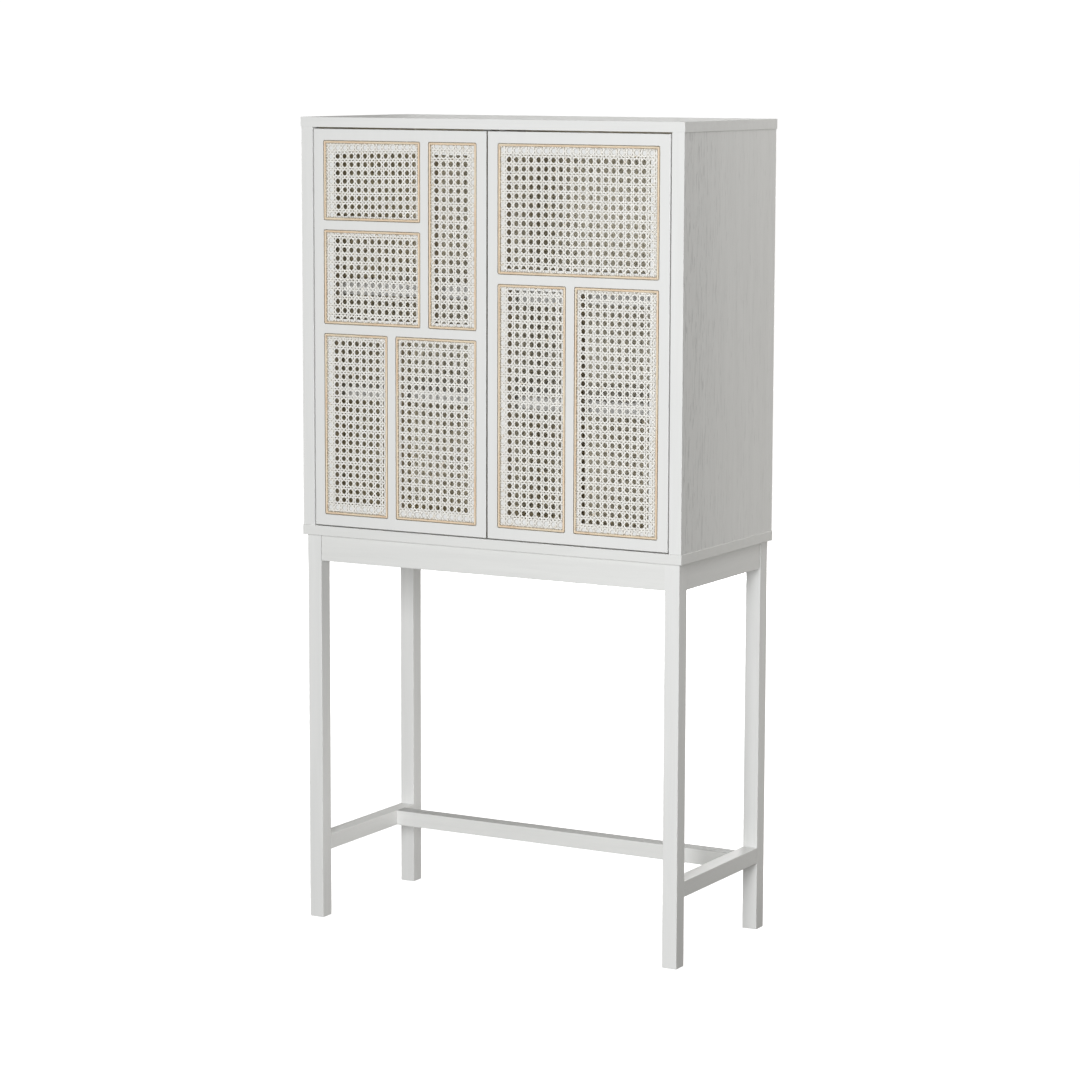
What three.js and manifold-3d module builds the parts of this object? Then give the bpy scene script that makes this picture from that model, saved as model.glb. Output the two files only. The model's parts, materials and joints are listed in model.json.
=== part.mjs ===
// Two-door cane cabinet on a stand with four legs.
// Millimetres, +Z up, origin on the floor under the middle of the cabinet.
// The doors face -Y, and +X is to the right of someone who stands in front of them.

import * as THREE from 'three';
import { ConvexGeometry } from 'three/addons/geometries/ConvexGeometry.js';
import { mergeVertices } from 'three/addons/utils/BufferGeometryUtils.js';
import Module from 'manifold-3d';

// ---- Driving dimensions ------------------------------------------------------

// The whole cabinet
const WIDTH = 650;
const DEPTH = 304;
const HEIGHT = 1235;
const STAND_HEIGHT = 600;

// Carcass boards
const PLATE = 15;            // thickness of the top and bottom panels
const PLATE_REVEAL = 1;      // how far those panels stand proud of the side panels
const SIDE_BOARD = 20;
const BACK_BOARD = 6;
const BACK_RECESS = 4;       // back panel, in from the rear edges of the side panels
const BOARD_EDGE = 0.8;      // eased edge on boards
const STICK_EDGE = 1.5;      // eased edge on legs, aprons and stretchers

// Stand
const LEG = 24;              // square section of a leg
const LEG_INSET = 5.5;       // from the edge of the bottom panel
const APRON_HEIGHT = 40;
const APRON_BOARD = 18;
const APRON_SETBACK = 0.5;   // behind the outer faces of the legs
const STRETCHER = 24;        // square section of a stretcher
const STRETCHER_BOTTOM = 104;
const LONG_STRETCHER_Y = 83; // middle of the stretcher between the side stretchers
const JOINT_GAP = 0.3;       // hairline joint between two sticks

// Shelves
const SHELF_BOARD = 18;
const SHELF_TOPS = { upper: 984, lower: 825 };
const SHELF_SETBACK = 50;    // front edge behind the front of the side panels
const SHELF_CLEARANCE = 0.5;
const PIN_RADIUS = 2.5;
const PIN_IN_BOARD = 8;
const PIN_UNDER_SHELF = 7;
const PIN_END_DISTANCE = 38; // from a shelf's front or back edge
const PIN_FIT = 0.25;        // clearance round the pin in its hole
const PIN_FACETS = 16;

// Doors
const DOOR_BOARD = 19;
const DOOR_SIDE_GAP = 2;
const DOOR_MIDDLE_GAP = 2;
const DOOR_TOP_GAP = 2.5;
const DOOR_BOTTOM_GAP = 1.5;
const LAND_EDGE = 17;        // flat face between the door's edge and a pocket
const LAND_BAR = 14;         // flat face of a bar between two pockets
const FRAME_EDGE = 34;       // full width of the frame round the door
const FRAME_BAR = 33;        // full width of a bar between two openings
const POCKET_DEPTH = 2.8;    // shallow pocket that the cane and its bead lie in
const TRIM_FIT = 0.4;        // clearance round the bead and the cane in the pocket
const LAYER_GAP = 0.1;       // between the pocket's floor, the cane and the bead
const CANE = 1.2;
const BEAD_WIDTH = 4;
const BEAD_PROUD = 0.6;      // bead, in front of the door's face

// Where the bars run, from the hinge edge and the bottom edge of a door
const MIDDLE_RAIL = 300.5;
const LEFT_UPPER_RAIL = 457;
const LEFT_UPPER_BAR = 194;
const LEFT_LOWER_BAR = 136.5;
const RIGHT_RAIL = 385.5;
const RIGHT_LOWER_BAR = 162.5;

// Concealed hinges
const HINGE_HEIGHTS = { lower: 75, upper: 526 }; // above the door's bottom edge
const CUP_RADIUS = 13;
const CUP_DEPTH = 11;
const CUP_WALL = 1.2;
const CUP_FROM_EDGE = 17;    // cup's middle from the door's hinge edge
const CUP_FIT = 0.25;
const CUP_FACETS = 32;
const FLANGE = { width: 13, height: 46, thick: 1.2 };
const ARM_PLATE = { depth: 40, height: 44, thick: 3, edge: 0.5 };
const ARM = { width: 10, depth: 46, height: 12 };
const ARM_BEHIND_DOOR = 2.5; // room between a door's back and the front end of an arm

// Push latches, one behind the top corner of each door
const LATCH_FROM_MIDDLE = 13;
const LATCH_BODY = { width: 14, depth: 60, height: 16 };
const LATCH_END_WALL = 5;    // solid end of a latch body, behind its bore
const LATCH_BEHIND_DOOR = 4;
const PLUNGER_RADIUS = 4;
const PLUNGER_LENGTH = 40;
const PLUNGER_FIT = 0.4;
const PLUNGER_FACETS = 20;
const STRIKE = { width: 12, height: 12, thick: 1 };
const STRIKE_CLEARANCE = 0.3;
const STRIKE_DROP = 1;       // middle of the plate, below the middle of the plunger

// Cutting
const THROUGH = 100;         // length of a tool that cuts right through a board
const MERGE_DISTANCE = 1e-4;

// ---- Derived places ------------------------------------------------------------

const FRONT = -DEPTH / 2 + PLATE_REVEAL;       // front of the side panels and doors
const REAR = DEPTH / 2 - PLATE_REVEAL;
const SIDE_OUTER = WIDTH / 2 - PLATE_REVEAL;
const SIDE_INNER = SIDE_OUTER - SIDE_BOARD;
const INSIDE_BOTTOM = STAND_HEIGHT + PLATE;
const INSIDE_TOP = HEIGHT - PLATE;
const BACK_FRONT = REAR - BACK_RECESS - BACK_BOARD; // inner face of the back panel
const LEG_X = WIDTH / 2 - LEG_INSET - LEG / 2;
const LEG_Y = DEPTH / 2 - LEG_INSET - LEG / 2;
const DOOR_HINGE_X = SIDE_INNER - DOOR_SIDE_GAP;
const DOOR_WIDTH = DOOR_HINGE_X - DOOR_MIDDLE_GAP / 2;
const DOOR_BOTTOM = INSIDE_BOTTOM + DOOR_BOTTOM_GAP;
const DOOR_HEIGHT = INSIDE_TOP - DOOR_TOP_GAP - DOOR_BOTTOM;
const SIDES = { left: -1, right: 1 };
const ENDS = { front: -1, back: 1 };

// ---- Finishes --------------------------------------------------------------------

const finish = (color, roughness, metalness) => () =>
  new THREE.MeshStandardMaterial({ color, roughness, metalness });
const lacquer = finish(0xe9e8e3, 0.45, 0);
const boardBack = finish(0xe2e0d9, 0.6, 0);
const caneStrand = finish(0xefece2, 0.6, 0);
const naturalCane = finish(0xdcb98d, 0.55, 0);
const nickel = finish(0xb9bcc0, 0.3, 1);
const latchPlastic = finish(0xd9d8d3, 0.45, 0);

// ---- Shapes ------------------------------------------------------------------------

const wasm = await Module();
wasm.setup();

// A box centred on its own middle, with its twelve edges planed flat by `edge`.
function easedBox(width, depth, height, edge) {
  const points = [];
  const half = [width / 2, depth / 2, height / 2];
  for (const sx of [-1, 1]) {
    for (const sy of [-1, 1]) {
      for (const sz of [-1, 1]) {
        const corner = [sx * half[0], sy * half[1], sz * half[2]];
        for (let axis = 0; axis < 3; axis += 1) {
          const point = corner.map((value, i) => value - (i === axis ? 0 : Math.sign(value) * edge));
          points.push(new THREE.Vector3(...point));
        }
      }
    }
  }
  return new ConvexGeometry(points);
}

// A cylinder along Y, centred on its own middle.
function rod(radius, length, facets) {
  return new THREE.CylinderGeometry(radius, radius, length, facets);
}

function toSolid(geometry) {
  const bare = geometry.clone();
  bare.deleteAttribute('normal');
  bare.deleteAttribute('uv');
  const merged = mergeVertices(bare, MERGE_DISTANCE);
  return new wasm.Manifold(new wasm.Mesh({
    numProp: 3,
    vertProperties: Float32Array.from(merged.attributes.position.array),
    triVerts: Uint32Array.from(merged.index.array),
  }));
}

function toGeometry(solid) {
  const { vertProperties, triVerts } = solid.getMesh();
  const geometry = new THREE.BufferGeometry();
  geometry.setAttribute('position', new THREE.BufferAttribute(vertProperties, 3));
  geometry.setIndex(new THREE.BufferAttribute(triVerts, 1));
  geometry.computeVertexNormals();
  return geometry;
}

// Cuts each of `tools` out of `blank`. A tool is a geometry already moved into place. One that
// stands half in and half out of a face is made twice as long as the cut is deep.
function cut(blank, tools) {
  const cutter = (solid, tool) => solid.subtract(toSolid(tool));
  return toGeometry(tools.reduce(cutter, toSolid(blank)));
}

function join(first, second) {
  return toGeometry(toSolid(first).add(toSolid(second)));
}

// Adds a named mesh at x, y, z.
function place(parent, name, geometry, material, x, y, z) {
  const mesh = new THREE.Mesh(geometry, material());
  mesh.name = name;
  mesh.position.set(x, y, z);
  parent.add(mesh);
  return mesh;
}

// ---- Stand -----------------------------------------------------------------------

function stand() {
  const group = new THREE.Group();
  const legSpanX = 2 * LEG_X - LEG - 2 * JOINT_GAP; // clear length between two legs
  const legSpanY = 2 * LEG_Y - LEG - 2 * JOINT_GAP;
  const apronZ = STAND_HEIGHT - APRON_HEIGHT / 2;
  const apronShift = LEG / 2 - APRON_SETBACK - APRON_BOARD / 2;
  const stretcherZ = STRETCHER_BOTTOM + STRETCHER / 2;

  for (const [end, sy] of Object.entries(ENDS)) {
    for (const [side, sx] of Object.entries(SIDES)) {
      const leg = easedBox(LEG, LEG, STAND_HEIGHT, STICK_EDGE);
      place(group, `leg_${end}_${side}`, leg, lacquer, sx * LEG_X, sy * LEG_Y, STAND_HEIGHT / 2);
    }
    const apron = easedBox(legSpanX, APRON_BOARD, APRON_HEIGHT, BOARD_EDGE);
    place(group, `apron_${end}`, apron, lacquer, 0, sy * (LEG_Y + apronShift), apronZ);
  }

  for (const [side, sx] of Object.entries(SIDES)) {
    const apron = easedBox(APRON_BOARD, legSpanY, APRON_HEIGHT, BOARD_EDGE);
    place(group, `apron_${side}`, apron, lacquer, sx * (LEG_X + apronShift), 0, apronZ);
    const stretcher = easedBox(LEG, legSpanY, STRETCHER, STICK_EDGE);
    place(group, `stretcher_${side}`, stretcher, lacquer, sx * LEG_X, 0, stretcherZ);
  }

  const long = easedBox(legSpanX, STRETCHER, STRETCHER, STICK_EDGE);
  place(group, 'stretcher_long', long, lacquer, 0, LONG_STRETCHER_Y, stretcherZ);
  return group;
}

// ---- Carcass ---------------------------------------------------------------------

const SHELF_FRONT = FRONT + SHELF_SETBACK;
const SHELF_BACK = BACK_FRONT - SHELF_CLEARANCE;
const PIN_YS = { front: SHELF_FRONT + PIN_END_DISTANCE, back: SHELF_BACK - PIN_END_DISTANCE };
const pinZ = (shelfTop) => shelfTop - SHELF_BOARD - PIN_RADIUS - LAYER_GAP;

// A side panel, drilled for the pins of both shelves.
function sidePanel(sx) {
  const height = INSIDE_TOP - INSIDE_BOTTOM;
  const blank = easedBox(SIDE_BOARD, REAR - FRONT, height, BOARD_EDGE);
  const holeDepth = PIN_IN_BOARD + PIN_FIT;
  const holes = [];
  for (const shelfTop of Object.values(SHELF_TOPS)) {
    for (const y of Object.values(PIN_YS)) {
      const hole = rod(PIN_RADIUS + PIN_FIT, 2 * holeDepth, PIN_FACETS);
      hole.rotateZ(Math.PI / 2);
      hole.translate(-sx * SIDE_BOARD / 2, y, pinZ(shelfTop) - INSIDE_BOTTOM - height / 2);
      holes.push(hole);
    }
  }
  return cut(blank, holes);
}

function carcass() {
  const group = new THREE.Group();
  const plate = () => easedBox(WIDTH, DEPTH, PLATE, BOARD_EDGE);
  const insideHeight = INSIDE_TOP - INSIDE_BOTTOM;
  const middleZ = (INSIDE_TOP + INSIDE_BOTTOM) / 2;
  place(group, 'top_panel', plate(), lacquer, 0, 0, HEIGHT - PLATE / 2);
  place(group, 'bottom_panel', plate(), lacquer, 0, 0, STAND_HEIGHT + PLATE / 2);

  for (const [side, sx] of Object.entries(SIDES)) {
    const x = sx * (SIDE_OUTER - SIDE_BOARD / 2);
    place(group, `side_panel_${side}`, sidePanel(sx), lacquer, x, 0, middleZ);
  }

  const back = new THREE.BoxGeometry(2 * SIDE_INNER, BACK_BOARD, insideHeight);
  place(group, 'back_panel', back, boardBack, 0, BACK_FRONT + BACK_BOARD / 2, middleZ);

  for (const [level, top] of Object.entries(SHELF_TOPS)) {
    const width = 2 * (SIDE_INNER - SHELF_CLEARANCE);
    const shelf = easedBox(width, SHELF_BACK - SHELF_FRONT, SHELF_BOARD, BOARD_EDGE);
    const y = (SHELF_FRONT + SHELF_BACK) / 2;
    place(group, `shelf_${level}`, shelf, lacquer, 0, y, top - SHELF_BOARD / 2);
    for (const [side, sx] of Object.entries(SIDES)) {
      for (const [end, pinY] of Object.entries(PIN_YS)) {
        const x = sx * (SIDE_INNER + (PIN_IN_BOARD - PIN_UNDER_SHELF) / 2);
        const pin = rod(PIN_RADIUS, PIN_IN_BOARD + PIN_UNDER_SHELF, PIN_FACETS);
        pin.rotateZ(Math.PI / 2);
        place(group, `shelf_pin_${level}_${side}_${end}`, pin, nickel, x, pinY, pinZ(top));
      }
    }
  }
  return group;
}

// ---- Doors -----------------------------------------------------------------------
// Inside a door's group the origin is the hinge edge of its front face, at its bottom.
// `across` runs from the hinge edge to the meeting edge, `back` into the cabinet.

// Each window is the part of the door between two lines across and two lines up.
const WINDOWS = {
  left: {
    upper_outer: { across: [0, LEFT_UPPER_BAR], up: [LEFT_UPPER_RAIL, DOOR_HEIGHT] },
    upper_inner: { across: [LEFT_UPPER_BAR, DOOR_WIDTH], up: [MIDDLE_RAIL, DOOR_HEIGHT] },
    middle_outer: { across: [0, LEFT_UPPER_BAR], up: [MIDDLE_RAIL, LEFT_UPPER_RAIL] },
    lower_outer: { across: [0, LEFT_LOWER_BAR], up: [0, MIDDLE_RAIL] },
    lower_inner: { across: [LEFT_LOWER_BAR, DOOR_WIDTH], up: [0, MIDDLE_RAIL] },
  },
  right: {
    upper_wide: { across: [0, DOOR_WIDTH], up: [RIGHT_RAIL, DOOR_HEIGHT] },
    lower_inner: { across: [RIGHT_LOWER_BAR, DOOR_WIDTH], up: [0, RIGHT_RAIL] },
    lower_outer: { across: [0, RIGHT_LOWER_BAR], up: [0, RIGHT_RAIL] },
  },
};

// Moves the two ends of a span inwards: by `edge` where the span ends at the door's
// own edge, and by half of `bar` where it ends on the middle line of a bar.
function inset([low, high], length, edge, bar) {
  const lowStep = low === 0 ? edge : bar / 2;
  const highStep = high === length ? edge : bar / 2;
  return [low + lowStep, high - highStep];
}

// The outline of a window: the pocket in the front, or the opening right through.
function windowOutline(spans, edge, bar) {
  const [a0, a1] = inset(spans.across, DOOR_WIDTH, edge, bar);
  const [u0, u1] = inset(spans.up, DOOR_HEIGHT, edge, bar);
  return { across: (a0 + a1) / 2, up: (u0 + u1) / 2, width: a1 - a0, height: u1 - u0 };
}

const pocketOf = (spans) => windowOutline(spans, LAND_EDGE, LAND_BAR);
const openingOf = (spans) => windowOutline(spans, FRAME_EDGE, FRAME_BAR);

// A flat rectangular ring in the XZ plane, centred on its own middle.
function ring(width, height, band, thick) {
  const outline = (w, h) => [
    new THREE.Vector2(-w / 2, -h / 2),
    new THREE.Vector2(w / 2, -h / 2),
    new THREE.Vector2(w / 2, h / 2),
    new THREE.Vector2(-w / 2, h / 2),
  ];
  const shape = new THREE.Shape(outline(width, height));
  shape.holes.push(new THREE.Path(outline(width - 2 * band, height - 2 * band)));
  const geometry = new THREE.ExtrudeGeometry(shape, { depth: thick, bevelEnabled: false });
  geometry.rotateX(Math.PI / 2);
  geometry.translate(0, thick / 2, 0);
  return geometry;
}

// The door board: pockets in its front, openings through it, and bores for the cups.
function doorFrame(sx, windows) {
  const blank = easedBox(DOOR_WIDTH, DOOR_BOARD, DOOR_HEIGHT, BOARD_EDGE);
  blank.translate(-sx * DOOR_WIDTH / 2, DOOR_BOARD / 2, DOOR_HEIGHT / 2);
  const tools = [];
  for (const spans of Object.values(windows)) {
    const pocket = pocketOf(spans);
    const pocketTool = new THREE.BoxGeometry(pocket.width, 2 * POCKET_DEPTH, pocket.height);
    pocketTool.translate(-sx * pocket.across, 0, pocket.up);
    const opening = openingOf(spans);
    const openingTool = new THREE.BoxGeometry(opening.width, THROUGH, opening.height);
    openingTool.translate(-sx * opening.across, 0, opening.up);
    tools.push(pocketTool, openingTool);
  }
  for (const height of Object.values(HINGE_HEIGHTS)) {
    const bore = rod(CUP_RADIUS + CUP_FIT, 2 * (CUP_DEPTH + CUP_FIT), CUP_FACETS);
    bore.translate(-sx * CUP_FROM_EDGE, DOOR_BOARD, height);
    tools.push(bore);
  }
  return cut(blank, tools);
}

// A hinge cup, open to the back, with the flange that is screwed to the door's back.
// Its origin is in the middle of the cup, level with the back of the door.
function hingeCup() {
  const inner = CUP_RADIUS - CUP_WALL;
  const profile = [
    [0, -CUP_DEPTH],
    [CUP_RADIUS, -CUP_DEPTH],
    [CUP_RADIUS, FLANGE.thick],
    [inner, FLANGE.thick],
    [inner, -CUP_DEPTH + CUP_WALL],
    [0, -CUP_DEPTH + CUP_WALL],
  ];
  const points = profile.map(([radius, y]) => new THREE.Vector2(radius, y));
  const cup = new THREE.LatheGeometry(points, CUP_FACETS);
  const flange = new THREE.BoxGeometry(FLANGE.width, FLANGE.thick - LAYER_GAP, FLANGE.height);
  flange.translate(0, (FLANGE.thick + LAYER_GAP) / 2, 0);
  const hollow = rod(inner, THROUGH, CUP_FACETS);
  return join(cup, cut(flange, [hollow]));
}

// A hinge's mounting plate on the side panel, with the arm that reaches forward to the cup.
// Its origin is on the side panel's inner face, at the front end of the arm.
function hingeArm(sx) {
  const { thick, depth, height, edge } = ARM_PLATE;
  const plate = easedBox(thick, depth, height, edge);
  plate.translate(-sx * thick / 2, ARM.depth - depth / 2, 0);
  const arm = easedBox(ARM.width, ARM.depth, ARM.height, BOARD_EDGE);
  arm.translate(-sx * (thick - BOARD_EDGE + ARM.width / 2), ARM.depth / 2, 0);
  return join(plate, arm);
}

function door(side) {
  const sx = SIDES[side];
  const windows = WINDOWS[side];
  const group = new THREE.Group();
  group.position.set(sx * DOOR_HINGE_X, FRONT, DOOR_BOTTOM);
  place(group, `door_frame_${side}`, doorFrame(sx, windows), lacquer, 0, 0, 0);

  const caneBack = POCKET_DEPTH - LAYER_GAP;
  const beadBack = caneBack - CANE - LAYER_GAP;
  for (const [name, spans] of Object.entries(windows)) {
    const pocket = pocketOf(spans);
    const width = pocket.width - 2 * TRIM_FIT;
    const height = pocket.height - 2 * TRIM_FIT;
    const cane = new THREE.BoxGeometry(width, CANE, height);
    const caneY = caneBack - CANE / 2;
    place(group, `cane_${side}_${name}`, cane, caneStrand, -sx * pocket.across, caneY, pocket.up);
    const bead = ring(width, height, BEAD_WIDTH, beadBack + BEAD_PROUD);
    const beadY = (beadBack - BEAD_PROUD) / 2;
    place(group, `bead_${side}_${name}`, bead, naturalCane, -sx * pocket.across, beadY, pocket.up);
  }

  for (const [level, height] of Object.entries(HINGE_HEIGHTS)) {
    const name = `hinge_cup_${side}_${level}`;
    place(group, name, hingeCup(), nickel, -sx * CUP_FROM_EDGE, DOOR_BOARD, height);
  }

  const strike = new THREE.BoxGeometry(STRIKE.width, STRIKE.thick, STRIKE.height);
  const strikeX = sx * (LATCH_FROM_MIDDLE - DOOR_HINGE_X);
  const strikeZ = INSIDE_TOP - LATCH_BODY.height / 2 - DOOR_BOTTOM - STRIKE_DROP;
  const strikeY = DOOR_BOARD + STRIKE.thick / 2;
  place(group, `strike_plate_${side}`, strike, nickel, strikeX, strikeY, strikeZ);
  return group;
}

// ---- Hardware that stays in the carcass --------------------------------------------

function hingeArms() {
  const group = new THREE.Group();
  const y = FRONT + DOOR_BOARD + ARM_BEHIND_DOOR;
  for (const [side, sx] of Object.entries(SIDES)) {
    for (const [level, height] of Object.entries(HINGE_HEIGHTS)) {
      const name = `hinge_arm_${side}_${level}`;
      place(group, name, hingeArm(sx), nickel, sx * SIDE_INNER, y, DOOR_BOTTOM + height);
    }
  }
  return group;
}

function latches() {
  const group = new THREE.Group();
  const z = INSIDE_TOP - LATCH_BODY.height / 2;
  const doorBack = FRONT + DOOR_BOARD;
  const bodyFront = doorBack + LATCH_BEHIND_DOOR;
  const plungerFront = doorBack + STRIKE.thick + STRIKE_CLEARANCE;
  for (const [side, sx] of Object.entries(SIDES)) {
    const x = sx * LATCH_FROM_MIDDLE;
    const blank = easedBox(LATCH_BODY.width, LATCH_BODY.depth, LATCH_BODY.height, BOARD_EDGE);
    const bore = rod(PLUNGER_RADIUS + PLUNGER_FIT, LATCH_BODY.depth, PLUNGER_FACETS);
    bore.translate(0, -LATCH_END_WALL, 0);
    const body = cut(blank, [bore]);
    place(group, `latch_body_${side}`, body, latchPlastic, x, bodyFront + LATCH_BODY.depth / 2, z);
    const plunger = rod(PLUNGER_RADIUS, PLUNGER_LENGTH, PLUNGER_FACETS);
    const plungerY = plungerFront + PLUNGER_LENGTH / 2;
    place(group, `latch_plunger_${side}`, plunger, latchPlastic, x, plungerY, z);
  }
  return group;
}

const cabinet = new THREE.Group();
cabinet.add(stand(), carcass(), door('left'), door('right'), hingeArms(), latches());

export default cabinet;
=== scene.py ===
import json
import math
import random

import bmesh
import bpy
import numpy as np
from mathutils import Matrix, Vector


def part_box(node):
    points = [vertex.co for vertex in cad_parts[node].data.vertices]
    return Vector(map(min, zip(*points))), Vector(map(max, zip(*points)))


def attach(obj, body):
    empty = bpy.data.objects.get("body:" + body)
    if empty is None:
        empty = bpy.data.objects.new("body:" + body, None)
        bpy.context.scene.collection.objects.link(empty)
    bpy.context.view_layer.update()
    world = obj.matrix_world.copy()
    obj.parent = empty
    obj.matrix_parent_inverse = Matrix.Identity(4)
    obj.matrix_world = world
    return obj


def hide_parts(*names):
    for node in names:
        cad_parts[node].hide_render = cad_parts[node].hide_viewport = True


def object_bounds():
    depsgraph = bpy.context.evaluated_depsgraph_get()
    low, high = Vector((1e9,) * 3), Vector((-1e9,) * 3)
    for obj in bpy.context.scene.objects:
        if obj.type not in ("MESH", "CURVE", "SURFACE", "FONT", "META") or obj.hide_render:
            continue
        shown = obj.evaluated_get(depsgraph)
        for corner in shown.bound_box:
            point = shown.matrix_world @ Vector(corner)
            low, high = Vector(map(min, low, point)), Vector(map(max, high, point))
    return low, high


# A white lacquered cane cabinet on a stand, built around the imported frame.
# Metres, +Z up, the doors face -Y. Lengths below that end in _MM are in millimetres.

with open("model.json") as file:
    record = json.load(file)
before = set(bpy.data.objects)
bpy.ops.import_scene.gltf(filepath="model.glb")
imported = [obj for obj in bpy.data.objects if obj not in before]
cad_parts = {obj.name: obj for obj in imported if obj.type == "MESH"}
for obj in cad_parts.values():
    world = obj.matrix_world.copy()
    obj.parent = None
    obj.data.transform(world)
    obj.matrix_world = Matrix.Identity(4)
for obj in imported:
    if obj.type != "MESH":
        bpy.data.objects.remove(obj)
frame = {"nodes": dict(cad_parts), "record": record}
CAD_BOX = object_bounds()

MM = 0.001
SIDES = {"left": -1, "right": 1}
LEVELS = ("lower", "upper")
SHELVES = ("upper", "lower")
BODIES = frame["record"]["behaviour"]["bodies"]
NODE_BODY = {node: body for body, nodes in BODIES.items() for node in nodes}

# ---- Sizes ----

# How far edges are rounded: boards, sticks, panels that meet at their edges, and cuts.
BOARD_ROUND = 0.9 * MM
STICK_ROUND = 0.8 * MM
PANEL_ROUND = 0.35 * MM
CUT_ROUND = 0.45 * MM
# Open joint lines on the stand.
JOINT_GAP = 1.5 * MM
HAIRLINE = 0.4 * MM
# The pockets in the doors' fronts, and the ledges behind the cane round each opening: by a bar, by
# the door's own edge, and the few odd ones.
POCKET_CORNER = 2.2 * MM
POCKET_DEPTH = 2.8 * MM
BAR_LEDGE = 8.5 * MM
EDGE_LEDGE = 16.0 * MM
ODD_LEDGES = {
    ("left_upper_outer", "bottom"): 7.0 * MM,
    ("left_upper_inner", "top"): 19.0 * MM,
    ("right_upper_wide", "left"): 14.0 * MM,
}
BESIDE_EDGE = 18.0 * MM
# The room round the cane in its pocket, and the bead's section and corners.
TRIM_FIT = 0.4 * MM
BEAD_INSET = 0.35 * MM
BEAD_WIDTH = 3.5 * MM
BEAD_CORNER = 2.0 * MM
BEAD_REACH = 5.0 * MM
BEAD_STEPS = 10
MITRE_GAP = 0.03 * MM
# The room round a pin or a hinge cup in its bore, and how far a cutter runs past a surface.
PIN_FIT = 0.25 * MM
CUTTER_MARGIN = 5.0 * MM
# Materials: how far past a face a region of colour reaches, the rim of a door board that stays
# white, and how far back the streaks and the painted shade on the side panels go.
SKIN = 0.3 * MM
DOOR_EDGE = Vector((5, 0, 5)) * MM
STREAK_SHADE_REACH = 0.15

# The weave, in millimetres. A mesh is the part of the webbing that one hole takes up. Where two
# numbers stand together, they are for level and for upright strands.
STRAND_WIDTH_MM = (1.78, 1.82)
DIAGONAL_WIDTH_MM = 1.8
STRAND_THICK_MM = 0.62
WEAVE_LIFT_MM = 0.4
PAIR_HALF_MM = (1.48, 1.47)
PAIR_SPREAD_MM = 0.28
CROSSING_FLAT_MM = 0.75
OVERRUN_MM = 4.0
TRIM_MM = 0.25
PRESSED_MM = 3.2
RISE_MM = 2.0

# How each window's webbing was laid: the mesh across and up, its turn in degrees, and where the
# middle of a hole lies, across and down from the pocket's top left corner.
WEBBING_MM = {
    "left_upper_outer": (12.2, 12.61, 1.0, (36.5, 36.0)),
    "left_upper_inner": (12.48, 13.18, 0.0, (26.0, 32.0)),
    "left_middle_outer": (12.36, 13.1, 0.0, (35.9, 29.6)),
    "left_lower_outer": (12.14, 12.55, 0.0, (33.1, 26.9)),
    "left_lower_inner": (12.29, 12.82, 0.0, (23.2, 23.8)),
    "right_upper_wide": (12.35, 13.24, 0.0, (30.6, 36.8)),
    "right_lower_inner": (12.3, 13.17, 0.0, (32.1, 21.4)),
    "right_lower_outer": (12.02, 12.67, 0.4, (25.9, 38.8)),
}


def linked(name, data):
    """A new object, in the scene."""
    thing = bpy.data.objects.new(name, data)
    bpy.context.scene.collection.objects.link(thing)
    return thing


# ---- Camera ----

CAMERA_PLACE = (2.532, -4.494, 1.327)
CAMERA_TURN = 29.34
CAMERA_DOWN = 7.71
CAMERA_ROLL = 0.17
CAMERA_LENS = 113.9
CAMERA_SHIFT = -0.02


def make_camera():
    data = bpy.data.cameras.new("camera")
    data.lens = CAMERA_LENS
    data.shift_y = CAMERA_SHIFT
    camera = linked("camera", data)
    turn = Matrix.Rotation(math.radians(CAMERA_TURN), 4, "Z")
    tilt = Matrix.Rotation(math.radians(90 - CAMERA_DOWN), 4, "X")
    roll = Matrix.Rotation(math.radians(CAMERA_ROLL), 4, "Z")
    camera.matrix_world = Matrix.Translation(CAMERA_PLACE) @ turn @ tilt @ roll
    bpy.context.scene.camera = camera


# ---- Materials ----


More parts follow.
